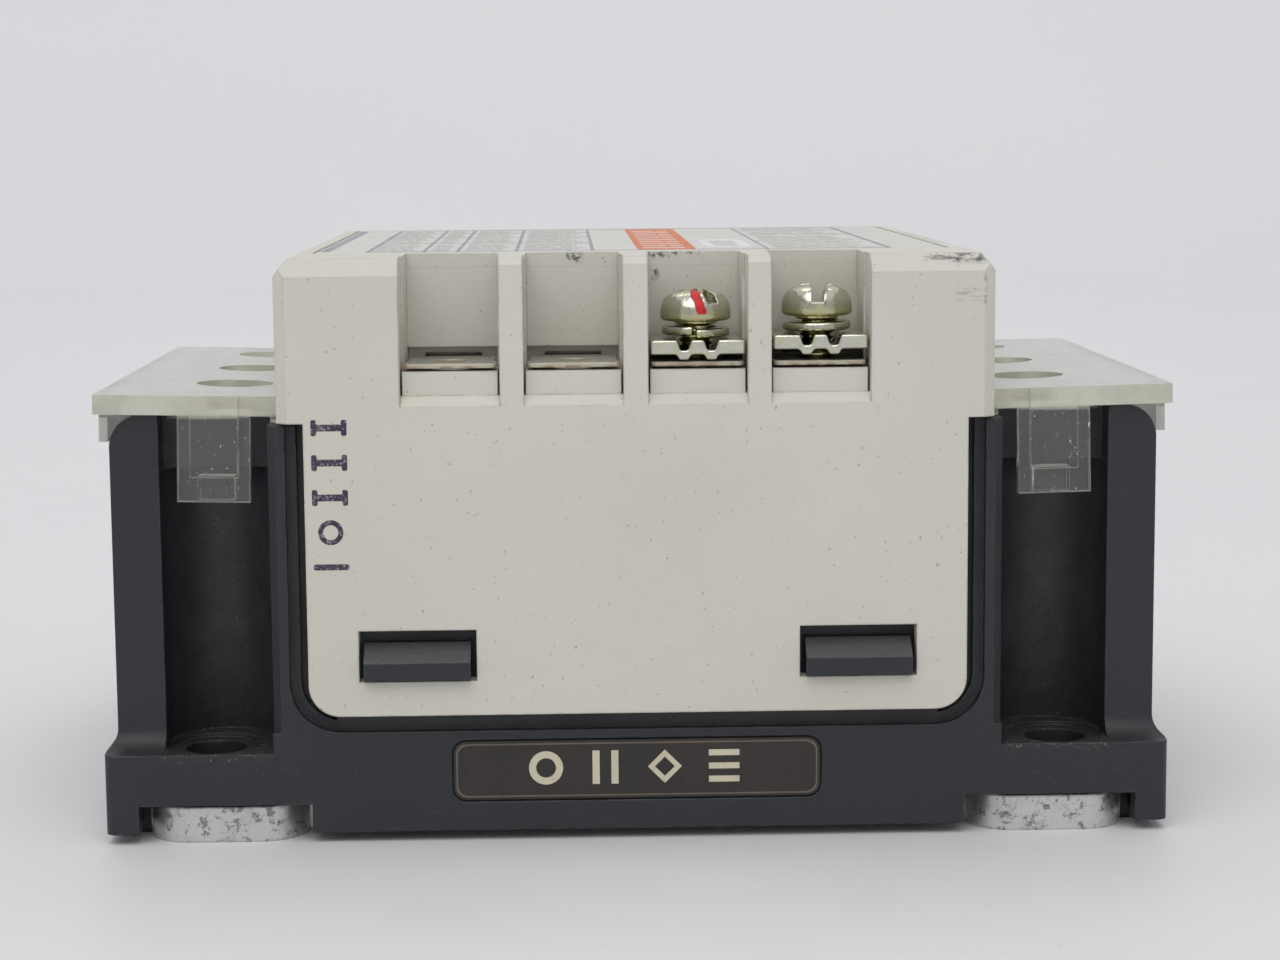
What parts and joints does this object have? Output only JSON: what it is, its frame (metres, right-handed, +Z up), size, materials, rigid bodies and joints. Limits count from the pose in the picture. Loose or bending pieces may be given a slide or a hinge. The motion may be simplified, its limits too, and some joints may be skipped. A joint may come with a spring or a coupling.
{
  "type": "solid state relay",
  "caption": "Three-phase panel-mount solid state relay on an aluminium base plate, with clear side terminal covers and a front row of control terminals.",
  "frame": {"origin": "centre of the bounding box's bottom face, on the underside of the aluminium base plate", "axes": "+X along the width, from the line terminals to the load terminals; -Y out of the front with the control terminals; +Z up, away from the mounting surface"},
  "size_m": [0.1086, 0.0834, 0.0589],
  "materials": {
    "aluminium_plate": "satin, scuffed",
    "black_plastic": "fine moulded matt",
    "white_plastic": "fine moulded matt, slightly yellowed",
    "label_plastic": "printed film",
    "nameplate_film": "printed film",
    "tin_plate": "dull tin plate, tarnished",
    "zinc_steel": "zinc plate with a yellow-green tint",
    "plated_copper": "tin-plated copper",
    "clear_plastic": "clear, slightly yellowed and scuffed",
    "laminate": "green solder mask",
    "alumina": "fired white ceramic",
    "moulded_resin": "moulded epoxy",
    "capacitor_case": "moulded case",
    "varistor_coating": "dipped epoxy"
  },
  "bodies": {
    "relay_body": {"base_plate": "aluminium_plate", "base_frame": "black_plastic", "top_housing": "white_plastic", "front_label": "label_plastic", "top_nameplate": "nameplate_film", "control_terminal_1": "tin_plate", "control_terminal_2": "tin_plate", "control_terminal_3": "tin_plate", "control_terminal_4": "tin_plate", "line_terminal_1": "plated_copper", "load_terminal_1": "plated_copper", "line_terminal_2": "plated_copper", "load_terminal_2": "plated_copper", "line_terminal_3": "plated_copper", "load_terminal_3": "plated_copper", "circuit_board": "laminate", "ceramic_substrate_1": "alumina", "thyristor_module_1": "moulded_resin", "optocoupler_1": "moulded_resin", "snubber_capacitor_1": "capacitor_case", "varistor_1": "varistor_coating", "ceramic_substrate_2": "alumina", "thyristor_module_2": "moulded_resin", "optocoupler_2": "moulded_resin", "snubber_capacitor_2": "capacitor_case", "varistor_2": "varistor_coating", "ceramic_substrate_3": "alumina", "thyristor_module_3": "moulded_resin", "optocoupler_3": "moulded_resin", "snubber_capacitor_3": "capacitor_case", "varistor_3": "varistor_coating", "board_screw_1": "zinc_steel", "board_screw_2": "zinc_steel", "frame_screw_1": "zinc_steel", "frame_screw_2": "zinc_steel", "frame_screw_3": "zinc_steel", "frame_screw_4": "zinc_steel"},
    "left_cover": {"left_terminal_cover": "clear_plastic"},
    "right_cover": {"right_terminal_cover": "clear_plastic"},
    "control_washers_1": {"square_washer_1": "zinc_steel", "spring_washer_1": "zinc_steel"},
    "control_screw_1": {"control_screw_1": "zinc_steel"},
    "control_washers_2": {"square_washer_2": "zinc_steel", "spring_washer_2": "zinc_steel"},
    "control_screw_2": {"control_screw_2": "zinc_steel"},
    "main_washer_1": {"main_washer_1": "zinc_steel"},
    "main_screw_1": {"main_screw_1": "zinc_steel"},
    "main_washer_2": {"main_washer_2": "zinc_steel"},
    "main_screw_2": {"main_screw_2": "zinc_steel"},
    "main_washer_3": {"main_washer_3": "zinc_steel"},
    "main_screw_3": {"main_screw_3": "zinc_steel"},
    "main_washer_4": {"main_washer_4": "zinc_steel"},
    "main_screw_4": {"main_screw_4": "zinc_steel"},
    "main_washer_5": {"main_washer_5": "zinc_steel"},
    "main_screw_5": {"main_screw_5": "zinc_steel"},
    "main_washer_6": {"main_washer_6": "zinc_steel"},
    "main_screw_6": {"main_screw_6": "zinc_steel"}
  },
  "joints": [
    {"name": "left_cover_lift", "type": "slide", "parent": "relay_body", "child": "left_cover", "axis": [0, 0, 1], "range_m": [0, 0.012]},
    {"name": "right_cover_lift", "type": "slide", "parent": "relay_body", "child": "right_cover", "axis": [0, 0, 1], "range_m": [0, 0.012]},
    {"name": "control_screw_1_rise", "type": "slide", "parent": "relay_body", "child": "control_washers_1", "axis": [0, 0, 1], "range_m": [0, 0.0018]},
    {"name": "control_screw_1_turn", "type": "hinge", "parent": "control_washers_1", "child": "control_screw_1", "pos_m": [0.00613, -0.03525, 0.0484], "axis": [0, 0, 1], "range_deg": [0, 1080]},
    {"name": "control_screw_2_rise", "type": "slide", "parent": "relay_body", "child": "control_washers_2", "axis": [0, 0, 1], "range_m": [-0.0004, 0.0014]},
    {"name": "control_screw_2_turn", "type": "hinge", "parent": "control_washers_2", "child": "control_screw_2", "pos_m": [0.01832, -0.03525, 0.0484], "axis": [0, 0, 1], "range_deg": [-240, 840]},
    {"name": "main_screw_1_rise", "type": "slide", "parent": "relay_body", "child": "main_washer_1", "axis": [0, 0, 1], "range_m": [0, 0.0032]},
    {"name": "main_screw_1_turn", "type": "hinge", "parent": "main_washer_1", "child": "main_screw_1", "pos_m": [-0.0417, -0.02225, 0.034], "axis": [0, 0, 1], "range_deg": [0, 1440]},
    {"name": "main_screw_2_rise", "type": "slide", "parent": "relay_body", "child": "main_washer_2", "axis": [0, 0, 1], "range_m": [0, 0.0032]},
    {"name": "main_screw_2_turn", "type": "hinge", "parent": "main_washer_2", "child": "main_screw_2", "pos_m": [-0.0417, -0.00325, 0.034], "axis": [0, 0, 1], "range_deg": [0, 1440]},
    {"name": "main_screw_3_rise", "type": "slide", "parent": "relay_body", "child": "main_washer_3", "axis": [0, 0, 1], "range_m": [0, 0.0032]},
    {"name": "main_screw_3_turn", "type": "hinge", "parent": "main_washer_3", "child": "main_screw_3", "pos_m": [-0.0417, 0.01575, 0.034], "axis": [0, 0, 1], "range_deg": [0, 1440]},
    {"name": "main_screw_4_rise", "type": "slide", "parent": "relay_body", "child": "main_washer_4", "axis": [0, 0, 1], "range_m": [0, 0.0032]},
    {"name": "main_screw_4_turn", "type": "hinge", "parent": "main_washer_4", "child": "main_screw_4", "pos_m": [0.0417, -0.02225, 0.034], "axis": [0, 0, 1], "range_deg": [0, 1440]},
    {"name": "main_screw_5_rise", "type": "slide", "parent": "relay_body", "child": "main_washer_5", "axis": [0, 0, 1], "range_m": [0, 0.0032]},
    {"name": "main_screw_5_turn", "type": "hinge", "parent": "main_washer_5", "child": "main_screw_5", "pos_m": [0.0417, -0.00325, 0.034], "axis": [0, 0, 1], "range_deg": [0, 1440]},
    {"name": "main_screw_6_rise", "type": "slide", "parent": "relay_body", "child": "main_washer_6", "axis": [0, 0, 1], "range_m": [0, 0.0032]},
    {"name": "main_screw_6_turn", "type": "hinge", "parent": "main_washer_6", "child": "main_screw_6", "pos_m": [0.0417, 0.01575, 0.034], "axis": [0, 0, 1], "range_deg": [0, 1440]}
  ],
  "couplings": [
    {"joint": "control_screw_1_turn", "follows": "control_screw_1_rise", "rad_per_m": 10472},
    {"joint": "control_screw_2_turn", "follows": "control_screw_2_rise", "rad_per_m": 10472},
    {"joint": "main_screw_1_turn", "follows": "main_screw_1_rise", "rad_per_m": 7854},
    {"joint": "main_screw_2_turn", "follows": "main_screw_2_rise", "rad_per_m": 7854},
    {"joint": "main_screw_3_turn", "follows": "main_screw_3_rise", "rad_per_m": 7854},
    {"joint": "main_screw_4_turn", "follows": "main_screw_4_rise", "rad_per_m": 7854},
    {"joint": "main_screw_5_turn", "follows": "main_screw_5_rise", "rad_per_m": 7854},
    {"joint": "main_screw_6_turn", "follows": "main_screw_6_rise", "rad_per_m": 7854}
  ]
}
